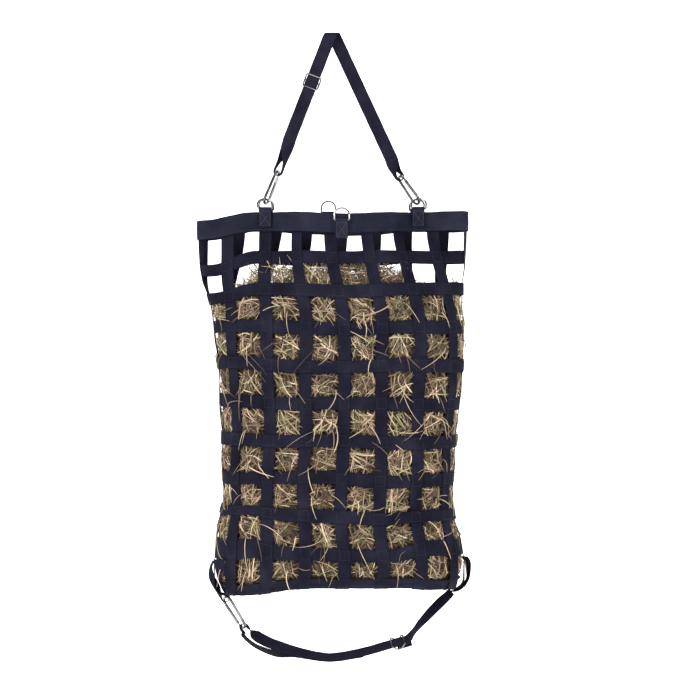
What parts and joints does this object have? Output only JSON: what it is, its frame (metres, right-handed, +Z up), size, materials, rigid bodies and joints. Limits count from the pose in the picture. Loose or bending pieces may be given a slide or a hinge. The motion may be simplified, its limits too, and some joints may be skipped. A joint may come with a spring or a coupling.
{
  "type": "hay net",
  "caption": "Slow-feed hay net of flat webbing, filled with hay, clipped shut at a pinched mouth and hung from an adjustable strap, with a second strap under its base.",
  "frame": {"origin": "underside of the hanging strap's fold, on the hook or rail that it hangs from", "axes": "+Z up, +X to the right seen from the front, +Y from the front to the back; the net hangs at negative Z"},
  "size_m": [0.5386, 0.237, 1.2431],
  "materials": {
    "webbing": "dark navy polypropylene webbing, matt with a faint sheen",
    "nickel": "nickel plate",
    "spring_steel": "plain spring steel",
    "hay": "dry stemmy hay"
  },
  "bodies": {
    "hanger": {"hanging_strap": "webbing", "hanging_strap_return": "webbing"},
    "strap_slider": {"hanging_slider": "nickel", "hanging_slider_loop": "webbing"},
    "left_snap": {"left_snap_body": "nickel", "left_snap_pin": "spring_steel"},
    "left_gate": {"left_snap_gate": "nickel", "left_snap_spring": "spring_steel"},
    "right_snap": {"right_snap_body": "nickel", "right_snap_pin": "spring_steel"},
    "right_gate": {"right_snap_gate": "nickel", "right_snap_spring": "spring_steel"},
    "bag": {"rim_band": "webbing", "hoop_1": "webbing", "hoop_2": "webbing", "hoop_3": "webbing", "hoop_4": "webbing", "hoop_5": "webbing", "hoop_6": "webbing", "hoop_7": "webbing", "hoop_8": "webbing", "hoop_9": "webbing", "hoop_10": "webbing", "long_strap_a": "webbing", "long_strap_b": "webbing", "long_strap_c": "webbing", "long_strap_d": "webbing", "long_strap_e": "webbing", "long_strap_f": "webbing", "long_strap_g": "webbing", "side_strap": "webbing", "left_front_tab": "webbing", "left_back_tab": "webbing", "right_front_tab": "webbing", "right_back_tab": "webbing", "middle_front_tab": "webbing", "middle_back_tab": "webbing", "left_front_ring": "nickel", "left_back_ring": "nickel", "right_front_ring": "nickel", "right_back_ring": "nickel", "left_corner_loop": "webbing", "right_corner_loop": "webbing", "hay_fill": "hay"},
    "middle_front_ring": {"middle_front_ring": "nickel"},
    "middle_back_ring": {"middle_back_ring": "nickel"},
    "lower_strap": {"bottom_strap": "webbing", "bottom_strap_return": "webbing", "bottom_snap_body": "nickel", "bottom_snap_pin": "spring_steel"},
    "lower_gate": {"bottom_snap_gate": "nickel", "bottom_snap_spring": "spring_steel"},
    "lower_slider": {"bottom_slider": "nickel", "bottom_slider_loop": "webbing"}
  },
  "joints": [
    {"name": "left_snap_swing", "type": "hinge", "parent": "hanger", "child": "left_snap", "pos_m": [-0.1089, 0, -0.27697], "axis": [0.9992, 0, -0.0397], "range_deg": [-12, 12]},
    {"name": "right_snap_swing", "type": "hinge", "parent": "hanger", "child": "right_snap", "pos_m": [-0.1089, 0, -0.27697], "axis": [0.9992, 0, -0.0397], "range_deg": [-12, 12]},
    {"name": "left_gate_open", "type": "hinge", "parent": "left_snap", "child": "left_gate", "pos_m": [-0.11028, 0.00881, -0.28884], "axis": [-0.87, 0.342, 0.3552], "range_deg": [0, 18], "stiffness_Nm_per_rad": 0.06, "springref_deg": -14.32, "deforming": ["left_snap_spring"]},
    {"name": "right_gate_open", "type": "hinge", "parent": "right_snap", "child": "right_gate", "pos_m": [0.146, -0.00815, -0.29341], "axis": [0.7101, 0.5, 0.4957], "range_deg": [0, 18], "stiffness_Nm_per_rad": 0.06, "springref_deg": -14.32, "deforming": ["right_snap_spring"]},
    {"name": "bag_swing", "type": "hinge", "parent": "left_snap", "child": "bag", "pos_m": [-0.133, 0, -0.331], "axis": [1, 0, 0], "range_deg": [-10, 10]},
    {"name": "hanging_slide", "type": "slide", "parent": "hanger", "child": "strap_slider", "axis": [0.3514, -0.0364, 0.9355], "range_m": [0, 0.04], "deforming": ["hanging_strap_return"]},
    {"name": "middle_front_ring_swing", "type": "hinge", "parent": "bag", "child": "middle_front_ring", "pos_m": [0.01914, -0.09165, -0.374], "axis": [0.9998, 0.0174, 0], "range_deg": [0, 160]},
    {"name": "middle_back_ring_swing", "type": "hinge", "parent": "bag", "child": "middle_back_ring", "pos_m": [-0.0087, 0.08752, -0.35], "axis": [-0.9619, -0.2735, 0], "range_deg": [0, 160]},
    {"name": "lower_strap_swing", "type": "hinge", "parent": "bag", "child": "lower_strap", "pos_m": [-0.212, 0, -1.115], "axis": [0.9996, 0, 0.0267], "range_deg": [-40, 40]},
    {"name": "bottom_gate_open", "type": "hinge", "parent": "lower_strap", "child": "lower_gate", "pos_m": [-0.18811, 0.00717, -1.16458], "axis": [0.6496, 0.6428, 0.406], "range_deg": [0, 18], "stiffness_Nm_per_rad": 0.06, "springref_deg": -14.32, "deforming": ["bottom_snap_spring"]},
    {"name": "bottom_slide", "type": "slide", "parent": "lower_strap", "child": "lower_slider", "axis": [-0.9613, 0, -0.2754], "range_m": [0, 0.025], "deforming": ["bottom_strap_return"]}
  ],
  "couplings": [
    {"joint": "right_snap_swing", "follows": "left_snap_swing", "ratio": 1}
  ]
}
